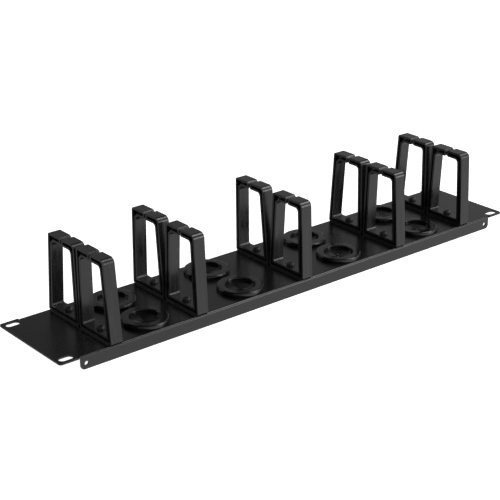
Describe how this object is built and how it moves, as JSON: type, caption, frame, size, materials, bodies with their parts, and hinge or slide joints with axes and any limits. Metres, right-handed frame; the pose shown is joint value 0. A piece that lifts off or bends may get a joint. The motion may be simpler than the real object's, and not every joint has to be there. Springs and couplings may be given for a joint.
{
  "type": "horizontal cable manager",
  "caption": "Two-unit rack panel with slit cable rings in two rows and rubber grommets with star-cut membranes between them.",
  "frame": {"origin": "middle of the footprint, at the level of the flanges' free edges, on which the panel lies", "axes": "+X along the rack width, +Y from the front row of rings to the back row, +Z out of the panel's front face"},
  "size_m": [0.4826, 0.0882, 0.0782],
  "materials": {
    "panel_paint": "fine matt black powder coat",
    "ring_plastic": "satin black moulding",
    "grommet_rubber": "satin black rubber",
    "fastener_steel": "black oxide"
  },
  "bodies": {
    "root": {"panel": "panel_paint", "cable_ring_back_1": "ring_plastic", "cable_ring_back_2": "ring_plastic", "cable_ring_back_3": "ring_plastic", "cable_ring_back_4": "ring_plastic", "cable_ring_back_5": "ring_plastic", "cable_ring_front_1": "ring_plastic", "cable_ring_front_2": "ring_plastic", "cable_ring_front_3": "ring_plastic", "cable_ring_front_4": "ring_plastic", "cable_ring_front_5": "ring_plastic", "grommets_back": "grommet_rubber", "grommets_front": "grommet_rubber", "screws_column_1": "fastener_steel", "nuts_column_1": "fastener_steel", "screws_column_2": "fastener_steel", "nuts_column_2": "fastener_steel", "screws_column_3": "fastener_steel", "nuts_column_3": "fastener_steel", "screws_column_4": "fastener_steel", "nuts_column_4": "fastener_steel", "screws_column_5": "fastener_steel", "nuts_column_5": "fastener_steel"}
  },
  "joints": []
}
